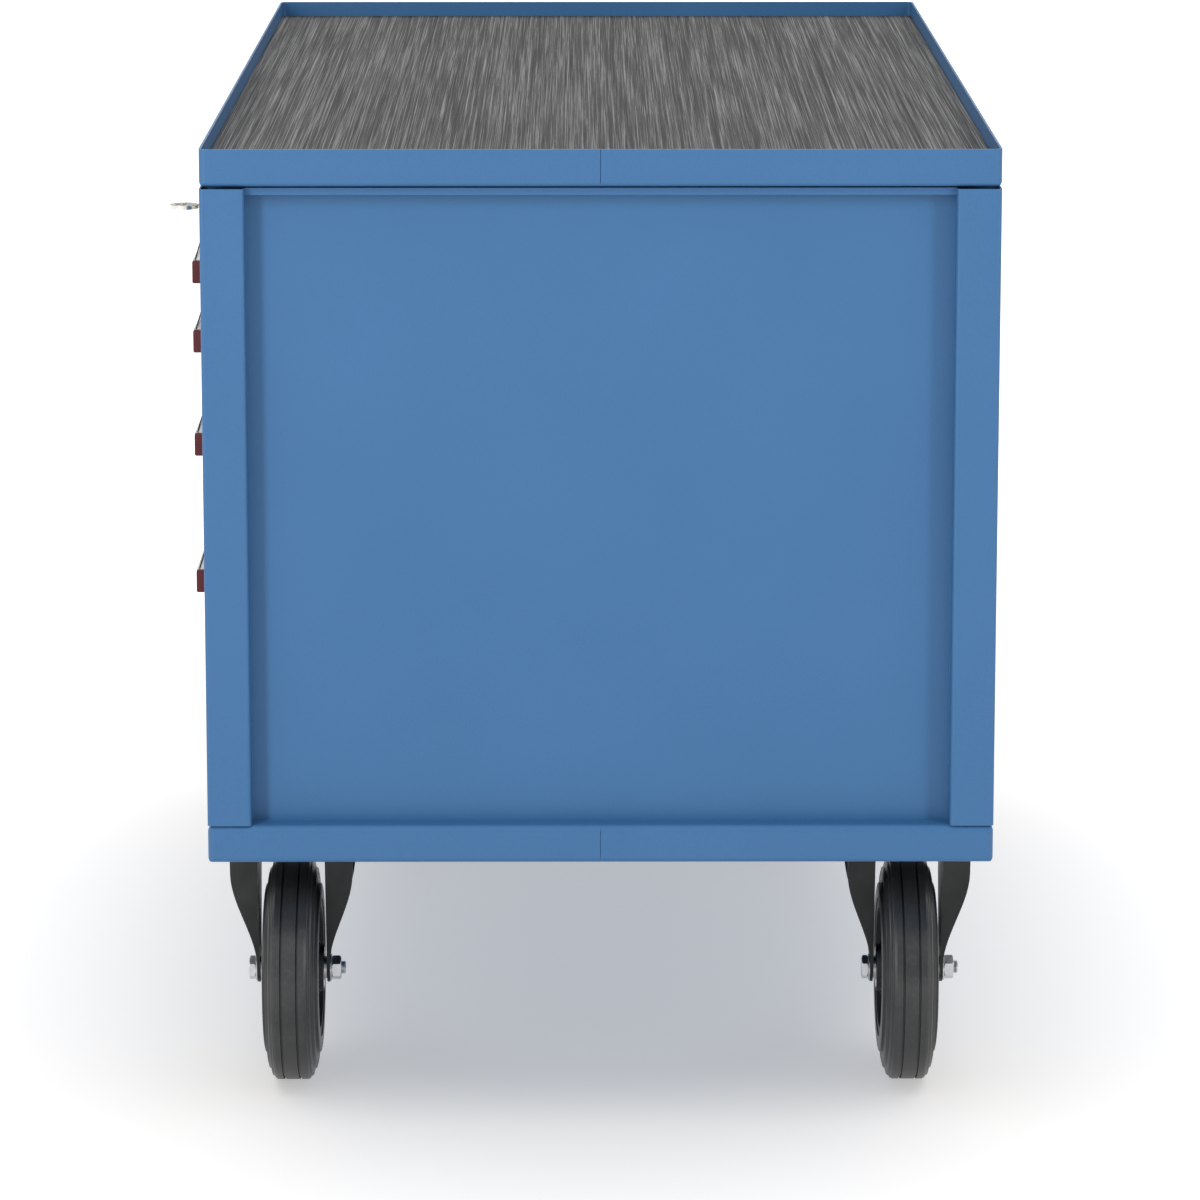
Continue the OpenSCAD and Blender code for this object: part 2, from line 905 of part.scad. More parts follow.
handle_caps(3);  // handle_caps_4
slide_member(3, 1);  // slide_middle_4
slide_member(3, 2);  // slide_inner_4
fixed_fork_front();
fixed_fork_back();
fixed_axles();
castor_bolts();
swivel_plate_front();
swivel_plate_back();
swivel_fork_front();
swivel_fork_back();
swivel_axle_front();
swivel_axle_back();
brake_pedal_front();
brake_pedal_back();
tyre(castor_x, -1);  // tyre_front_right
tyre(castor_x, 1);  // tyre_back_right
tyre(trail - castor_x, -1);  // tyre_front_left
tyre(trail - castor_x, 1);  // tyre_back_left
rim(castor_x, -1);  // rim_front_right
rim(castor_x, 1);  // rim_back_right
rim(trail - castor_x, -1);  // rim_front_left
rim(trail - castor_x, 1);  // rim_back_left
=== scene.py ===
import math

import bmesh
import bpy
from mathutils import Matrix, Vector
from mathutils.geometry import tessellate_polygon


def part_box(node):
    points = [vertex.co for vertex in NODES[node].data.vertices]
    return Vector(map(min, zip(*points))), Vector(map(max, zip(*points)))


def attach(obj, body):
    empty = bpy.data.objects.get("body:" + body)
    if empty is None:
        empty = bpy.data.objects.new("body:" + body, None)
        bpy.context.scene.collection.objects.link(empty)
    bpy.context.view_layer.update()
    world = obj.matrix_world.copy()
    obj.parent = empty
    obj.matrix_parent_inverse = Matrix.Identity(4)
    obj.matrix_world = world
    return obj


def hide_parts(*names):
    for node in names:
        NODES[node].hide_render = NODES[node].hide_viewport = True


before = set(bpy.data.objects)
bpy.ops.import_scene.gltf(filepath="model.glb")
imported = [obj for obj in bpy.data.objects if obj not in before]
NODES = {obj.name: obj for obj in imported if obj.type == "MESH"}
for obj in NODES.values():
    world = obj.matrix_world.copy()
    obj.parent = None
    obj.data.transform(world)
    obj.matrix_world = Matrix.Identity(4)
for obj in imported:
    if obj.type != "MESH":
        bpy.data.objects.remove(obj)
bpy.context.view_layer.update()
MM = 0.001

# points nearer than this, in metres, are one
SAME_PLACE = 1e-7


# ---------------------------------------------------------------- shader graphs

class Graph:
    """Builds one node material. A socket passed as a value is linked, anything else is set."""

    def __init__(self, name):
        self.material = bpy.data.materials.new(name)
        self.material.use_nodes = True
        self.tree = self.material.node_tree
        self.shader = self.tree.nodes["Principled BSDF"]

    def put(self, socket, value):
        if isinstance(value, bpy.types.NodeSocket):
            self.tree.links.new(value, socket)
        else:
            socket.default_value = value

    def node(self, kind, inputs=(), **settings):
        made = self.tree.nodes.new(kind)
        for key, value in settings.items():
            setattr(made, key, value)
        for key, value in dict(inputs).items():
            self.put(made.inputs[key], value)
        return made

    def place(self, scale=(1, 1, 1)):
        """Object coordinates, in metres, stretched by the scale."""
        where = self.node("ShaderNodeTexCoord").outputs["Object"]
        return self.node("ShaderNodeMapping", {"Vector": where, "Scale": scale}).outputs["Vector"]

    def noise(self, scale, detail, stretch=(1, 1, 1), roughness=0.5):
        inputs = {"Vector": self.place(stretch), "Scale": scale, "Detail": detail, "Roughness": roughness}
        return self.node("ShaderNodeTexNoise", inputs).outputs["Fac"]

    def ramp(self, value, stops):
        made = self.node("ShaderNodeValToRGB", {"Fac": value})
        ramp = made.color_ramp
        while len(ramp.elements) < len(stops):
            ramp.elements.new(0.5)
        for element, (at, colour) in zip(ramp.elements, stops):
            element.position = at
            element.color = (*colour, 1)
        return made.outputs["Color"]

    def spread(self, value, low, high, start=0.0, end=1.0):
        """Low where the value is at or under start, high where it is at or over end."""
        inputs = {"Value": value, "From Min": start, "From Max": end, "To Min": low, "To Max": high}
        return self.node("ShaderNodeMapRange", inputs).outputs["Result"]

    def math(self, operation, a, b):
        return self.node("ShaderNodeMath", {0: a, 1: b}, operation=operation).outputs["Value"]

    def mix(self, factor, a, b):
        """Colour a with colour b over it, by the factor."""
        made = self.node("ShaderNodeMix", data_type="RGBA")
        factor_in, a_in, b_in, colour_out = made.inputs[0], made.inputs[6], made.inputs[7], made.outputs[2]
        self.put(factor_in, factor)
        self.put(a_in, a)
        self.put(b_in, b)
        return colour_out

    def bump(self, height, depth, strength=1.0, below=None):
        inputs = {"Height": height, "Distance": depth, "Strength": strength}
        if below is not None:
            inputs["Normal"] = below
        return self.node("ShaderNodeBump", inputs).outputs["Normal"]

    def edges(self, radius, start, end):
        """1 on the sharp edges of the shape, 0 on its flats."""
        rounded = self.node("ShaderNodeBevel", {"Radius": radius}, samples=6).outputs["Normal"]
        true = self.node("ShaderNodeNewGeometry").outputs["Normal"]
        dot = self.node("ShaderNodeVectorMath", {0: rounded, 1: true}, operation="DOT_PRODUCT")
        return self.spread(dot.outputs["Value"], 0.0, 1.0, start, end)

    def finish(self, **inputs):
        for key, value in inputs.items():
            self.put(self.shader.inputs[key.replace("_", " ")], value)
        return self.material


def grey(value):
    return (value, value, value)


def powder_coat(name, dark, light):
    """Baked powder coat: fine orange peel, faint cloudiness, tiny specks, and paler along the edges, which is
    painted highlight mixed with some wear.
    """
    g = Graph(name)
    rough = 0.42
    cloud = g.noise(5, 4)
    speck = g.noise(900, 2)
    colour = g.ramp(cloud, [(0.3, dark), (0.7, light)])
    colour = g.mix(g.spread(speck, 0.0, 0.16, 0.35, 0.65), colour, (*[c * 1.5 for c in light], 1))
    # painted highlight with some wear: a paler blue along the sharp edges, broken up by noise
    edge_wear_and_highlight = g.math("MULTIPLY", g.edges(0.0009, 0.985, 0.8), g.spread(g.noise(60, 4), 0.18, 0.6, 0.48, 0.7))
    colour = g.mix(edge_wear_and_highlight, colour, (*[c * 1.9 + 0.02 for c in light], 1))
    peel = g.bump(g.noise(420, 3), 0.00016, 0.35)
    fine = g.bump(g.noise(1500, 2), 0.00005, 0.3, peel)
    return g.finish(Base_Color=colour, Roughness=g.spread(cloud, rough - 0.04, rough + 0.05), Normal=fine,
                    Specular_IOR_Level=0.32)


def streaked_mat():
    """Hard grey sheet with long irregular streaks that run along the bench."""
    g = Graph("mat_streaked")
    fine = g.noise(1.0, 4, (3.4, 950, 1), 0.8)
    broad = g.noise(1.0, 3, (1.6, 250, 1), 0.6)
    dark = g.noise(1.0, 2, (2, 700, 3), 0.5)
    light = g.noise(1.0, 2, (2.8, 820, 7), 0.5)
    tone = g.math("ADD", g.math("MULTIPLY", fine, 0.78), g.math("MULTIPLY", broad, 0.22))
    shades = [(0.42, 0.004), (0.475, 0.030), (0.53, 0.058), (0.60, 0.19)]
    colour = g.ramp(tone, [(at, grey(shade)) for at, shade in shades])
    colour = g.mix(g.spread(light, 0.0, 0.6, 0.56, 0.68), colour, (*grey(0.24), 1))
    colour = g.mix(g.spread(dark, 0.85, 0.0, 0.33, 0.43), colour, (*grey(0.003), 1))
    normal = g.bump(tone, 0.0006, 0.6)
    return g.finish(Base_Color=colour, Roughness=g.spread(fine, 0.6, 0.85), Normal=normal,
                    Specular_IOR_Level=0.2)


def tyre_rubber():
    """Dark rubber, a little glossy, with a cloudy film of dust."""
    g = Graph("tyre_rubber")
    cloud = g.noise(30, 4)
    dust = g.noise(260, 3)
    colour = g.ramp(cloud, [(0.3, (0.017, 0.018, 0.019)), (0.7, (0.030, 0.031, 0.032))])
    colour = g.mix(g.spread(dust, 0.0, 0.3, 0.5, 0.8), colour, (0.07, 0.07, 0.068, 1))
    normal = g.bump(g.noise(1400, 3), 0.00008, 0.4)
    return g.finish(Base_Color=colour, Roughness=g.spread(dust, 0.28, 0.48), Normal=normal)


def moulded(name, dark, light, rough):
    """Moulded plastic with a fine spark-eroded grain."""
    g = Graph(name)
    colour = g.ramp(g.noise(60, 3), [(0.3, dark), (0.7, light)])
    normal = g.bump(g.noise(2200, 2), 0.00004, 0.5)
    return g.finish(Base_Color=colour, Roughness=g.spread(g.noise(90, 2), rough - 0.06, rough + 0.08),
                    Normal=normal, Specular_IOR_Level=0.35)


def fork_paint():
    """Thin black paint over pressed steel, slightly mottled, worn a little on its edges."""
    g = Graph("fork_paint")
    mottle = g.noise(45, 5)
    colour = g.ramp(mottle, [(0.3, (0.010, 0.011, 0.011)), (0.7, (0.022, 0.024, 0.024))])
    wear = g.math("MULTIPLY", g.edges(0.0012, 0.97, 0.7), g.spread(g.noise(120, 4), 0.0, 1.0, 0.5, 0.7))
    colour = g.mix(wear, colour, (0.16, 0.16, 0.16, 1))
    normal = g.bump(mottle, 0.0006, 0.25)
    return g.finish(Base_Color=colour, Roughness=g.spread(mottle, 0.26, 0.46), Normal=normal,
                    Specular_IOR_Level=0.3)


def plated(name, dark, light, rough, stretch=(1, 1, 1), patches=70, duller=0.12):
    """Zinc, nickel or bare aluminium with a light grain and a few dull patches."""
    g = Graph(name)
    patch = g.noise(patches, 4)
    grain = g.noise(900, 2, stretch)
    colour = g.ramp(patch, [(0.3, dark), (0.7, light)])
    normal = g.bump(grain, 0.00004, 0.35)
    return g.finish(Base_Color=colour, Metallic=1.0, Normal=normal,
                    Roughness=g.spread(patch, rough - 0.06, rough + duller))


def paper():
    """Off-white label card with a faint fibre."""
    g = Graph("label_paper")
    fibre = g.noise(700, 4)
    colour = g.ramp(fibre, [(0.3, (0.70, 0.70, 0.67)), (0.7, (0.80, 0.80, 0.78))])
    return g.finish(Base_Color=colour, Roughness=0.8, Normal=g.bump(fibre, 0.00005, 0.3))


def clear_cover():
    """Clear plastic with faint scratches."""
    g = Graph("clear_cover")
    scratch = g.noise(1.0, 3, (30, 900, 900))
    normal = g.bump(scratch, 0.00002, 0.2)
    return g.finish(Base_Color=(0.93, 0.95, 0.96, 1), Roughness=g.spread(scratch, 0.03, 0.12), IOR=1.45,
                    Transmission_Weight=1.0, Normal=normal)


BLUE = powder_coat("blue_powder_coat", (0.031, 0.108, 0.240), (0.035, 0.116, 0.256))
MAT = streaked_mat()
TYRE = tyre_rubber()
RIM = moulded("rim_plastic", (0.010, 0.010, 0.011), (0.018, 0.018, 0.019), 0.5)
CAP = moulded("cap_plastic", (0.075, 0.007, 0.010), (0.098, 0.010, 0.014), 0.42)
PEDAL = moulded("pedal_plastic", (0.100, 0.010, 0.013), (0.130, 0.014, 0.018), 0.42)
FORK = fork_paint()
ZINC = plated("zinc_plate", (0.50, 0.51, 0.53), (0.66, 0.67, 0.69), 0.25)
NICKEL = plated("nickel", (0.58, 0.56, 0.52), (0.70, 0.68, 0.64), 0.2)
ALLOY = plated("anodised_alloy", (0.60, 0.61, 0.63), (0.64, 0.65, 0.67), 0.40, (0.02, 1, 1), 14, 0.03)
PAPER = paper()
CLEAR = clear_cover()


# ---------------------------------------------------------------- CAD nodes keep their shape

def starts(*heads):
    return [name for name in NODES if name.startswith(heads)]


def soften(obj, width, segments=2, angle=35):
    """A small radius, in metres, on every edge sharper than the angle, as a modifier."""
    made = obj.modifiers.new("edge_radius", "BEVEL")
    made.width = width
    made.segments = segments
    made.limit_method = "ANGLE"
    made.angle_limit = math.radians(angle)
    made.harden_normals = True


def dress(names, material, bevel=0.0):
    """Gives CAD nodes their material, and a small edge radius."""
    for name in names:
        obj = NODES[name]
        obj.data.materials.clear()
        obj.data.materials.append(material)
        if bevel:
            soften(obj, bevel)


dress(["base_tray", "top_tray", "front_rail", "back_panel"], BLUE, 0.0005)
dress(starts("post_", "side_panel", "drawer_front", "drawer_box"), BLUE, 0.0004)
dress(["worktop_mat"], MAT)
dress(starts("handle_strip"), ALLOY)
dress(starts("handle_caps"), CAP, 0.0006)
dress(starts("tyre_"), TYRE)
dress(starts("rim_"), RIM)
dress(starts("fixed_fork", "swivel_fork", "swivel_plate"), FORK, 0.0005)
dress(starts("brake_pedal"), PEDAL, 0.0008)
dress(["fixed_axles", "castor_bolts", "cabinet_slides", "lock_bar"], ZINC)
dress(starts("swivel_axle", "slide_"), ZINC)
dress(["key", "lock_plug", "lock_housing"], NICKEL, 0.0003)


# ---------------------------------------------------------------- new pieces

# the radius at which a turned solid closes on its axis
CORE = 0.1

# the thickness of the folded sheets
SHEET = 1.5

# where the label covers lie along a handle, and how far its shelf is below its top
LABELS = [(-440, -180), (180, 440)]
SHELF_DROP = 20

# how a drawing's (u, v), and w along its depth, stand in the frame
AXES = {
    "x": lambda u, v, w: (w, u, v),
    "y": lambda u, v, w: (u, w, v),
    "z": lambda u, v, w: (u, v, w),
}


class Shape:
    """Collects closed solids into one mesh. All sizes are in millimetres, in the frame."""

    def __init__(self):
        self.verts = []
        self.faces = []

    def add(self, verts, faces):
        base = len(self.verts)
        self.verts += verts
        self.faces += [[base + i for i in face] for face in faces]
        return self

    def extrude(self, loops, low, high, axis="x"):
        """A flat outline, and any holes after it, made solid between low and high."""
        points = [point for loop in loops for point in loop]
        n = len(points)
        if len(loops) == 1:
            flats = [list(range(n))]
        else:
            outlines = [[Vector((u, v, 0)) for u, v in loop] for loop in loops]
            flats = [list(triangle) for triangle in tessellate_polygon(outlines)]
        faces = flats + [[n + i for i in reversed(face)] for face in flats]
        start = 0
        for loop in loops:
            size = len(loop)
            for k in range(size):
                a, b = start + k, start + (k + 1) % size
                faces.append([a, b, b + n, a + n])
            start += size
        put = AXES[axis]
        return self.add([put(u, v, w) for w in (low, high) for u, v in points], faces)

    def block(self, low, high):
        """A box between two corners."""
        outline = [(low[1], low[2]), (high[1], low[2]), (high[1], high[2]), (low[1], high[2])]
        return self.extrude([outline], low[0], high[0])

    def lathe(self, outline, centre, axis="y", steps=48):
        """Turns a closed outline of (radius, height) points, or a function of the angle that gives it."""
        rings = []
        for k in range(steps):
            angle = 2 * math.pi * k / steps
            line = outline(angle) if callable(outline) else outline
            rings.append([AXES[axis](r * math.cos(angle), r * math.sin(angle), h) for r, h in line])
        size = len(rings[0])
        verts = [tuple(a + b for a, b in zip(point, centre)) for ring in rings for point in ring]
        faces = []
        for k in range(steps):
            here, there = k * size, (k + 1) % steps * size
            for i in range(size):
                j = (i + 1) % size
                faces.append([here + i, here + j, there + j, there + i])
        return self.add(verts, faces)

    def hexagon(self, across, low, high, centre, axis="y", bore=CORE):
        """A nut or a bolt head, its corners cut back by a cone at both ends."""
        circle = across * 0.485
        chamfer = 0.577
        sixth = math.pi / 3

        def outline(angle):
            corner = across / 2 / math.cos((angle + sixth / 2) % sixth - sixth / 2)
            drop = (corner - circle) * chamfer
            return [(bore, low), (circle, low), (corner, low + drop),
                    (corner, high - drop), (circle, high), (bore, high)]
        return self.lathe(outline, centre, axis)

    def thread(self, radius, low, high, centre, axis="y"):
        """A bolt's threaded end, with a chamfered tip at its high end."""
        pitch, depth, tip = 1.5, 0.8, 1.2
        line = [(CORE, low), (radius, low)]
        for k in range(int((high - low) / pitch)):
            at = low + k * pitch
            line += [(radius - depth, at + 0.45 * pitch), (radius, at + 0.9 * pitch)]
        line += [(radius - tip, high), (CORE, high)]
        return self.lathe(line, centre, axis)

    def make(self, name, material, body, slot, replaces=(), bevel=0.0, segments=2, angle=35):
        """Turns what was collected into a piece that rides on the body. The bevel is in millimetres."""
        bm = bmesh.new()
        points = [bm.verts.new([c * MM for c in v]) for v in self.verts]
        for face in self.faces:
            bm.faces.new([points[i] for i in face])
        bmesh.ops.remove_doubles(bm, verts=bm.verts, dist=SAME_PLACE)
        bmesh.ops.recalc_face_normals(bm, faces=bm.faces)
        mesh = bpy.data.meshes.new(name)
        bm.to_mesh(mesh)
        bm.free()
        mesh.shade_smooth()
        mesh.set_sharp_from_angle(angle=math.radians(angle))
        mesh.materials.append(material)
        obj = bpy.data.objects.new(name, mesh)
        bpy.context.scene.collection.objects.link(obj)
        if bevel:
            soften(obj, bevel * MM, segments, angle)
        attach(obj, body)
        if replaces:
            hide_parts(*replaces)
        return obj


def extent(node):
    """A CAD node's corners in millimetres."""
    low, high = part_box(node)
    return [c / MM for c in low], [c / MM for c in high]


def middle(node):
    """A CAD node's middle in millimetres."""
    low, high = extent(node)
    return [(a + b) / 2 for a, b in zip(low, high)]


def slot_loop(u, v, width, height):
    """An upright slot with round ends, its middle at (u, v)."""
    r = width / 2
    arc = [(r * math.cos(a), r * math.sin(a)) for a in (math.radians(d) for d in (0, 45, 90, 135, 180))]
    straight = height / 2 - r
    return [(u + x, v + straight + y) for x, y in arc] + [(u - x, v - straight - y) for x, y in arc]


def drawer_front(n):
    """One folded sheet: top and bottom flanges, a finger pocket behind the lip, and welded end plates."""
    low, high = extent(f"drawer_front_{n}")
    lip_low = extent(f"handle_strip_{n}")[0][2]
    pocket, sill_drop = 12, 8
    y, z, top = low[1], low[2], high[2]
    roof, foot = top - SHELF_DROP - 2, lip_low - 2.5
    sill = foot - sill_drop
    deep, far = y + pocket, high[1]
    slope = SHEET * (math.hypot(pocket, sill_drop) - sill_drop) / pocket
    section = [
        (y, z), (y, sill), (deep, foot), (deep, roof), (y, roof), (y, top),
        (far, top), (far, top - SHEET), (y + SHEET, top - SHEET), (y + SHEET, roof + SHEET),
        (deep + SHEET, roof + SHEET), (deep + SHEET, foot - slope), (y + SHEET, sill - slope),
        (y + SHEET, z + SHEET), (far, z + SHEET), (far, z),
    ]
    shape = Shape().extrude([section], low[0] + SHEET, high[0] - SHEET)
    plate = [(y, z), (far, z), (far, top), (y, top)]
    near, edge, back = y + 14.5, y + 20.5, far - 0.6
    under, step, over = z + 42.5, z + 48.5, z + 55.5
    cut = [(near, under), (back, under), (back, step), (edge, step), (edge, over), (near, over)]
    shape.extrude([plate], low[0], low[0] + SHEET)
    shape.extrude([plate, cut], high[0] - SHEET, high[0])
    shape.make(f"folded_front_{n}", BLUE, f"drawer_{n}", "blue_steel", [f"drawer_front_{n}"], 0.55, 3)


def drawer_handle(n):
    """An extruded alloy grip that carries two clear sloping covers, with a paper label behind each."""
    low, high = extent(f"handle_strip_{n}")
    face = high[1]
    top, bottom = high[2], low[2]
    shelf = top - SHELF_DROP
    out = face - low[1]

    def at(p, z):
        return (face - p, z)

    lip = [
        at(out - 1.5, shelf - 1.5), at(out - 1.5, bottom + 0.6), at(out - 1.1, bottom + 0.1),
        at(out - 0.6, bottom), at(out - 0.2, bottom + 0.2), at(out, bottom + 0.7), at(out, shelf - 0.5),
        at(out - 0.4, shelf),
    ]
    groove = [at(6.9, shelf), at(6.9, shelf + 1.1), at(6.2, shelf + 1.1), at(6.2, shelf), at(1.0, shelf)]
    hook = [at(1.0, top - 2.2), at(1.6, top - 2.6), at(1.9, top - 1.9), at(1.0, top - 0.6), at(0, top - 0.4)]
    grip = [at(0, shelf - 1.5)] + lip + groove + hook
    Shape().extrude([grip], low[0], high[0]).make(
        f"grip_{n}", ALLOY, f"drawer_{n}", "handle_alu", [f"handle_strip_{n}"], 0.15)

    def slanted(start, end, p0, p1, name, material, slot, spans):
        """A sheet that leans from near the grip's top down to its groove, in one or more lengths."""
        foot, rise = 6.1, 0.4
        lean = [at(p0, top - start), at(p1, top - start + rise),
                at(foot + p1 - p0, shelf + end + rise), at(foot, shelf + end)]
        shape = Shape()
        for x0, x1 in spans:
            shape.extrude([lean], x0, x1)
        return shape.make(name, material, f"drawer_{n}", slot)

    slanted(1.6, 0.3, 0.9, 1.7, f"label_cover_{n}", CLEAR, "handle_alu", LABELS)
    # painted shade: thin black plates at the grip's ends and at each cover's ends stand in for the shaded end
    # edges of the covers
    ends = [low[0] + 1, high[0]] + [x + 1 for x0, x1 in LABELS for x in (x0 - 1, x1)]
    slanted(0.9, 0.1, 0.5, 1.6, f"painted_shade_plate_{n}", RIM, "rim_black", [(x - 1, x) for x in ends])
    papers = [(x0 + 6, x1 - 6) for x0, x1 in LABELS]
    slanted(2.6, 0.3, 0.5, 0.7, f"label_paper_{n}", PAPER, "handle_alu", papers)


def drawer_box(n):
    """A welded box: plain floor, walls with rows of slots for dividers, and a hemmed top edge."""
    low, high = extent(f"drawer_box_{n}")
    x0, y0, z0 = low
    x1, y1, z1 = high
    body = f"drawer_{n}"
    shape = Shape().block((x0, y0, z0), (x1, y1, z0 + SHEET))
    low_row, high_row, tall = z0 + 24, z0 + 64, 90
    rows = [low_row] if z1 - z0 < tall else [low_row, high_row]
    pitch, margin = 50, 60
    slot_width, slot_height = 2.4, 20

    def wall(u0, u1):
        outline = [(u0, z0 + SHEET), (u1, z0 + SHEET), (u1, z1), (u0, z1)]
        count = int((u1 - u0 - margin) / pitch)
        first = (u0 + u1) / 2 - (count - 1) * pitch / 2
        places = [(first + k * pitch, v) for k in range(count) for v in rows]
        return [outline] + [slot_loop(u, v, slot_width, slot_height) for u, v in places]

    ends = wall(y0 + SHEET, y1 - SHEET)
    shape.extrude(ends, x0, x0 + SHEET)
    shape.extrude(ends, x1 - SHEET, x1)
    faces = wall(x0, x1)
    shape.extrude(faces, y0, y0 + SHEET, "y")
    shape.extrude(faces, y1 - SHEET, y1, "y")
    shape.make(f"slotted_box_{n}", BLUE, body, "blue_steel", [f"drawer_box_{n}"], 0.25, 2)
    hem = Shape()
    lo = z1 - 9
    folded = 2 * SHEET + 0.3
    hem.block((x0 + SHEET, y0 + SHEET, lo), (x0 + folded, y1 - SHEET, z1))
    hem.block((x1 - folded, y0 + SHEET, lo), (x1 - SHEET, y1 - SHEET, z1))
    hem.block((x0 + 2 * SHEET, y0 + SHEET, lo), (x1 - 2 * SHEET, y0 + folded, z1))
    hem.block((x0 + 2 * SHEET, y1 - folded, lo), (x1 - 2 * SHEET, y1 - SHEET, z1))
    hem.make(f"box_hem_{n}", BLUE, body, "blue_steel", bevel=0.6, segments=3)


DRAWERS = 4
for n in range(1, DRAWERS + 1):
    drawer_front(n)
    drawer_handle(n)
    drawer_box(n)


def axle(side, end):
    """Bolt, nut and washers outside the fork's legs, and the spacer tube between hub and legs."""
    fixed = end == "right"
    body = "cabinet" if fixed else f"swivel_{side}"
    node = "fixed_axles" if fixed else f"swivel_axle_{side}"
    centre = middle(f"tyre_{side}_{end}")
    leg, bolt, bore, washer, across = 32.5, 6, 6.1, 1.6, 19
    shape = Shape()
    shape.lathe([(bore, -30), (9.6, -30), (10, -29.6), (10, 29.6), (9.6, 30), (bore, 30)], centre)
    shape.lathe([(CORE, -leg - 1), (bolt, -leg - 1), (bolt, leg + 1), (CORE, leg + 1)], centre)
    for low, high in ((-leg - washer, -leg), (leg, leg + washer)):
        shape.lathe([(bore, low), (11.5, low), (11.9, low + 0.3), (11.9, high - 0.3), (11.5, high),
                     (bore, high)], centre)
    shape.hexagon(across, -leg - 7.5, -leg - washer, centre)
    shape.hexagon(across, leg + washer, leg + 10, centre, bore=5.2)
    shape.thread(bolt, leg + 1, leg + 14, centre)
    shape.make(f"axle_set_{side}_{end}", ZINC, body, "zinc", [node], angle=25)


def wheel_detail(side, end):
    """Radial ribs between hub and rim, a plated bearing cover in each face, and the tyre's moulded ridges."""
    body = f"wheel_{side}_{end}"
    centre = middle(f"tyre_{side}_{end}")
    ribs = Shape()
    count = 12
    outline = [(21.5, 2.5), (53, 2.5), (53, 20), (48, 18), (28, 18), (21.5, 24)]
    size = len(outline)
    rib_faces = [list(range(size)), [size + i for i in reversed(range(size))]]
    rib_faces += [[i, (i + 1) % size, size + (i + 1) % size, size + i] for i in range(size)]
    for k in range(count):
        angle = 2 * math.pi * (k + 0.5) / count
        c, s = math.cos(angle), math.sin(angle)
        for face in (-1, 1):
            verts = []
            for half in (-1.5, 1.5):
                for r, h in outline:
                    spoke = (r * c - half * s, face * h, r * s + half * c)
                    verts.append(tuple(a + b for a, b in zip(centre, spoke)))
            ribs.add(verts, rib_faces)
    ribs.make(f"rim_ribs_{side}_{end}", RIM, body, "rim_black", bevel=0.6)
    covers = Shape()
    line = [(10.6, 25.5), (17, 25.5), (18.2, 27.05), (17.6, 27.3), (12.4, 27.3), (11.6, 26.8), (10.6, 26.8)]
    for face in (-1, 1):
        covers.lathe([(r, face * h) for r, h in line], centre)
    covers.make(f"bearing_cover_{side}_{end}", ZINC, body, "zinc", angle=25)
    ridges = Shape()
    for r, h in ((78.5, 22), (86.5, 20.9), (89.5, 20.2), (96.1, 17.2)):
        ring = [(r - 1.1, h - 0.5), (r - 0.4, h + 0.7), (r + 0.4, h + 0.7), (r + 1.1, h - 0.9)]
        for face in (-1, 1):
            ridges.lathe([(u, face * v) for u, v in ring], centre, steps=96)
    ridges.make(f"tyre_beads_{side}_{end}", TYRE, body, "tyre_grey", angle=80)


SIDES = ("front", "back")
for side in SIDES:
    for end in ("right", "left"):
        axle(side, end)
        wheel_detail(side, end)


def key_blank():
    """An oval bow with a ring hole, and a blade with its cuts, all in one plane."""
    low, high = extent("key")
    x, _, z = middle("key")
    start, tip = low[1], high[1]
    bow_half, blade_half = 12.5, 3.5
    bow_thick, blade_thick = 3.4, 2
    steps = 40
    neck = start + 2 * bow_half - 2

    def oval(a, b, y):
        turns = [2 * math.pi * k / steps for k in range(steps)]
        return [(x + a * math.cos(t), y + b * math.sin(t)) for t in turns]

    cuts = [(2.6, 2), (1.2, 4.5), (2.9, 7), (1.5, 10), (blade_half, 12.5)]
    blade = [(x - blade_half, neck), (x - blade_half, tip - 2), (x - 1, tip), (x + 1, tip)]
    blade += [(x + side, tip - back) for side, back in cuts] + [(x + blade_half, neck)]
    bow = [oval(12, bow_half, start + bow_half), oval(6, 4.8, start + 9.3)]
    shape = Shape().extrude(bow, z - bow_thick / 2, z + bow_thick / 2, "z")
    shape.extrude([blade], z - blade_thick / 2, z + blade_thick / 2, "z")
    shape.make("key_blank", NICKEL, "key", "key_nickel", ["key"], 0.5, 3)


key_blank()


def castor_bolts():
    """Sixteen plate bolts with their heads below the plate, and washers and nuts inside the tray."""
    shape = Shape()
    low, high = extent("castor_bolts")
    z = low[2]
    bolt, across, seat, nut = 5, 16, z + 11.9, z + 13.5
    spots = []
    for sign in (1, -1):
        for side in SIDES:
            x, y, _ = middle(f"swivel_plate_{side}")
            spots += [(sign * x + i, y + j, 0) for i in (-52.5, 52.5) for j in (-40, 40)]
    for at in spots:
        shape.hexagon(across, z, z + 6.4, at, "z")
        shape.lathe([(CORE, z + 6), (bolt, z + 6), (bolt, z + 12.2), (CORE, z + 12.2)], at, "z", 24)
        shape.lathe([(bolt + 0.1, seat), (10, seat), (10, nut), (bolt + 0.1, nut)], at, "z", 32)
        shape.hexagon(across, nut, z + 20, at, "z", bore=4.2)
        shape.thread(bolt, z + 12, high[2], at, "z")
    shape.make("plate_bolts", ZINC, "cabinet", "zinc", ["castor_bolts"], angle=25)


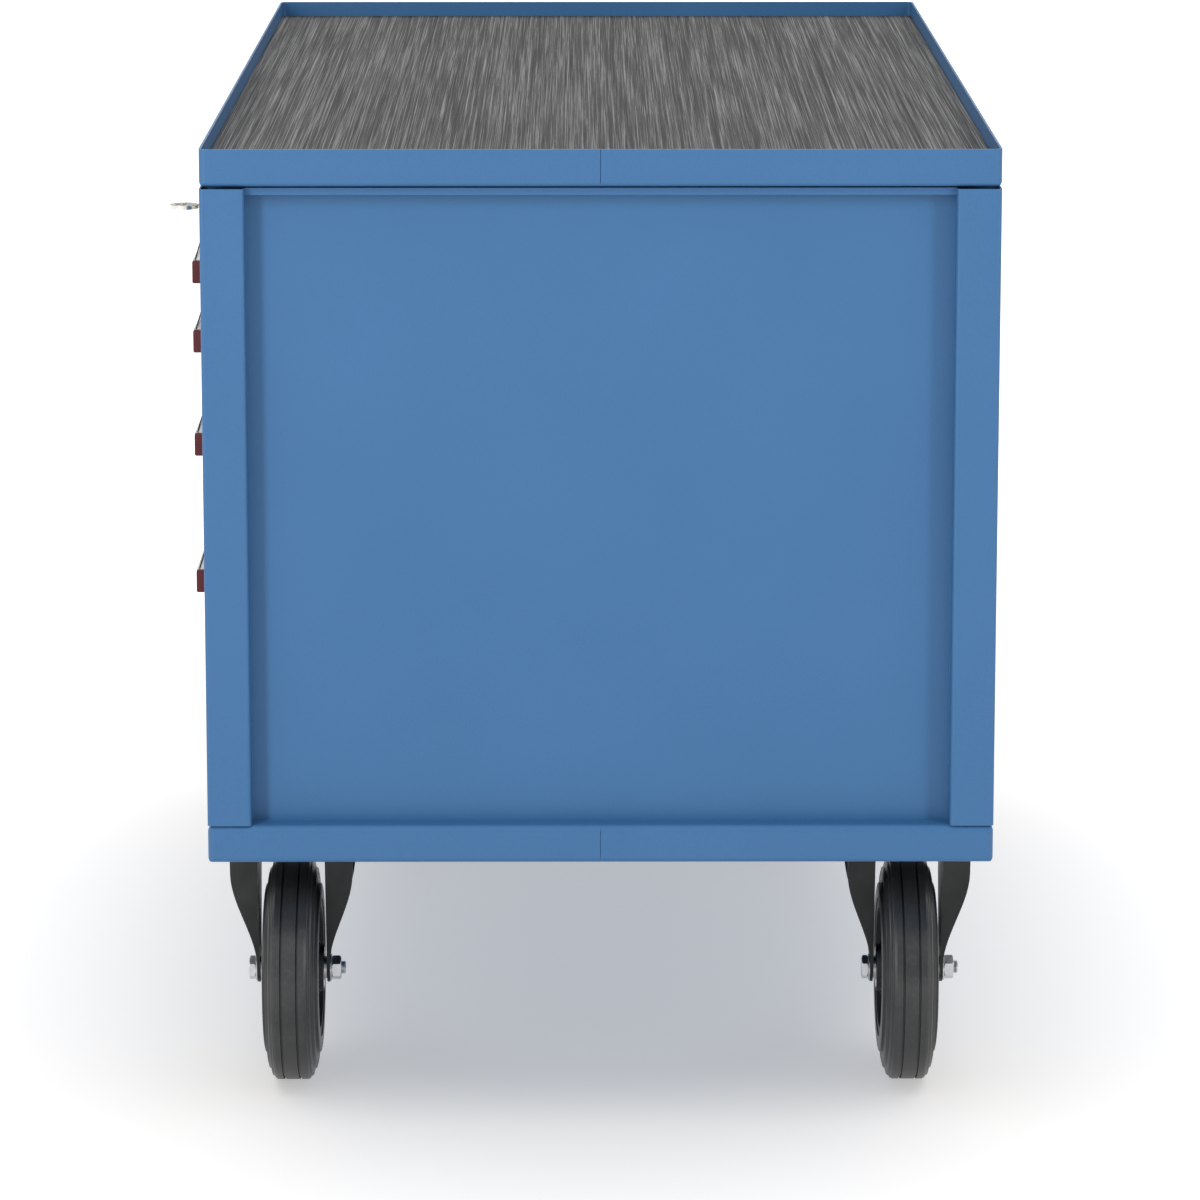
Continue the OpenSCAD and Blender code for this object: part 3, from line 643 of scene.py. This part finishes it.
def swivel_details(side):
    """A pressed skirt round the ball race, and grip ribs on the brake pedal."""
    plate = middle(f"swivel_plate_{side}")
    plate_thick = 4
    under = extent(f"swivel_plate_{side}")[1][2] - plate_thick
    centre = (plate[0], plate[1], 0)
    skirt = Shape()
    section = [
        (33, under), (41.5, under), (41.5, under - 1.2), (40.4, under - 2.5), (40.2, under - 10.5),
        (39, under - 10.5), (38.8, under - 3), (36, under - 1.4), (33, under - 1.4),
    ]
    skirt.lathe(section, centre, "z", 64)
    skirt.make(f"race_skirt_{side}", ZINC, "cabinet", "zinc", angle=40)
    tip = extent(f"brake_pedal_{side}")[0][0]
    ribs = Shape()
    tread, half, count, pitch = 196, 24, 6, 6.5
    for k in range(count):
        x = tip + 5 + k * pitch
        rib = [(x, tread - 0.3), (x + 3, tread - 0.3), (x + 2.4, tread + 1.3), (x + 0.6, tread + 1.3)]
        ribs.extrude([rib], plate[1] - half, plate[1] + half, "y")
    ribs.make(f"pedal_ribs_{side}", PEDAL, f"brake_{side}", "cap_red", bevel=0.3)


castor_bolts()
for side in SIDES:
    swivel_details(side)


def rivets():
    """Domed rivets that hold the back panel's edges to the back posts."""
    low, high = extent("back_panel")
    shape = Shape()
    face = high[1]
    inset, margin, count = 11, 30, 8
    line = [(CORE, -0.3), (4, -0.3), (4, 0), (3.7, 0.7), (2.8, 1.3), (1.5, 1.6), (CORE, 1.7)]
    for x in (low[0] + inset, high[0] - inset):
        for k in range(count):
            z = low[2] + margin + k * (high[2] - low[2] - 2 * margin) / (count - 1)
            shape.lathe(line, (x, face, z), "y", 24)
    shape.make("back_rivets", BLUE, "cabinet", "blue_steel", angle=50)


rivets()


# ---------------------------------------------------------------- camera, floor and light

def aim(obj, direction):
    """Points a camera or a light along the direction."""
    obj.rotation_mode = "QUATERNION"
    obj.rotation_quaternion = Vector(direction).to_track_quat("-Z", "Y")


def make_camera():
    """At the right-hand end, a little above the bench, looking down at it."""
    pitch = math.radians(10.6)
    yaw = math.radians(0.18)
    data = bpy.data.cameras.new("camera")
    data.lens = 159.04
    data.sensor_width = 36
    data.shift_y = -0.12
    data.clip_end = 100
    camera = bpy.data.objects.new("camera", data)
    camera.location = (5.073, 0, 1.429)
    aim(camera, (-math.cos(pitch) * math.cos(yaw), math.cos(pitch) * math.sin(yaw), -math.sin(pitch)))
    bpy.context.scene.collection.objects.link(camera)
    bpy.context.scene.camera = camera


def soft_box(name, azimuth, elevation, width, height, power, receivers):
    """A box that lights the bench but not the floor. Azimuth 90 is the camera's side."""
    distance, look_at = 5, Vector((0, 0, 0.5))
    a, e = math.radians(azimuth), math.radians(elevation)
    toward = Vector((math.sin(a) * math.cos(e), -math.cos(a) * math.cos(e), math.sin(e)))
    data = bpy.data.lights.new(name, "AREA")
    data.shape = "RECTANGLE"
    data.size = width
    data.size_y = height
    data.energy = power
    light = bpy.data.objects.new(name, data)
    light.location = look_at + toward * distance
    aim(light, -toward)
    bpy.context.scene.collection.objects.link(light)
    light.light_linking.receiver_collection = receivers


def make_sky():
    """An even white surround, and a broad soft light from straight above."""
    world = bpy.data.worlds.new("studio")
    world.use_nodes = True
    background = world.node_tree.nodes["Background"]
    background.inputs["Color"].default_value = (1, 1, 1, 1)
    background.inputs["Strength"].default_value = 0.42
    bpy.context.scene.world = world
    data = bpy.data.lights.new("ceiling", "SUN")
    data.energy = 1.15
    data.angle = math.radians(70)
    ceiling = bpy.data.objects.new("ceiling", data)
    bpy.context.scene.collection.objects.link(ceiling)


def pale_floor():
    """Matt off-white, with painted light: an emitted glow that rises over an oval round the bench's
    footprint, leaving a painted shadow under the bench.
    """
    g = Graph("pale_floor")
    squash = (0.544, 1, 1)
    oval = g.node("ShaderNodeVectorMath", {0: g.place(), 1: squash}, operation="MULTIPLY")
    reach = g.node("ShaderNodeVectorMath", {0: oval.outputs["Vector"]}, operation="LENGTH")
    # painted light and shadow: emission low under the bench, rising towards the open floor
    glow = g.spread(reach.outputs["Value"], 0.385, 0.85, 0.28, 1.1)
    tone = g.ramp(g.noise(0.7, 2), [(0.3, (0.765, 0.745, 0.725)), (0.7, (0.775, 0.755, 0.735))])
    grain = g.bump(g.noise(300, 2), 0.0002, 0.1)
    return g.finish(Base_Color=tone, Roughness=0.9, Normal=grain, Specular_IOR_Level=0.2,
                    Emission_Color=(1, 1, 1, 1), Emission_Strength=glow)


def make_floor():
    mesh = bpy.data.meshes.new("floor")
    half = 30
    corners = [(-half, -half, 0), (half, -half, 0), (half, half, 0), (-half, half, 0)]
    mesh.from_pydata(corners, [], [(0, 1, 2, 3)])
    floor = bpy.data.objects.new("floor", mesh)
    floor.data.materials.append(pale_floor())
    bpy.context.scene.collection.objects.link(floor)
    return floor


def make_studio():
    """The view, the sky, the floor, and soft boxes that leave the floor's shadow to the sky."""
    bpy.context.scene.view_settings.view_transform = "Standard"
    make_sky()
    receivers = bpy.data.collections.new("not_lit_by_boxes")
    receivers.objects.link(make_floor())
    receivers.collection_objects[0].light_linking.link_state = "EXCLUDE"
    soft_box("left_box", 57, 22, 0.7, 3.2, 125, receivers)
    soft_box("right_box", 130, 22, 0.7, 3.2, 73, receivers)
    soft_box("front_box", -20, 35, 2.2, 2.2, 35, receivers)
    soft_box("back_box", 200, 35, 2.2, 2.2, 35, receivers)
    soft_box("far_box", 270, 42, 2.2, 2.2, 60, receivers)


make_camera()
make_studio()
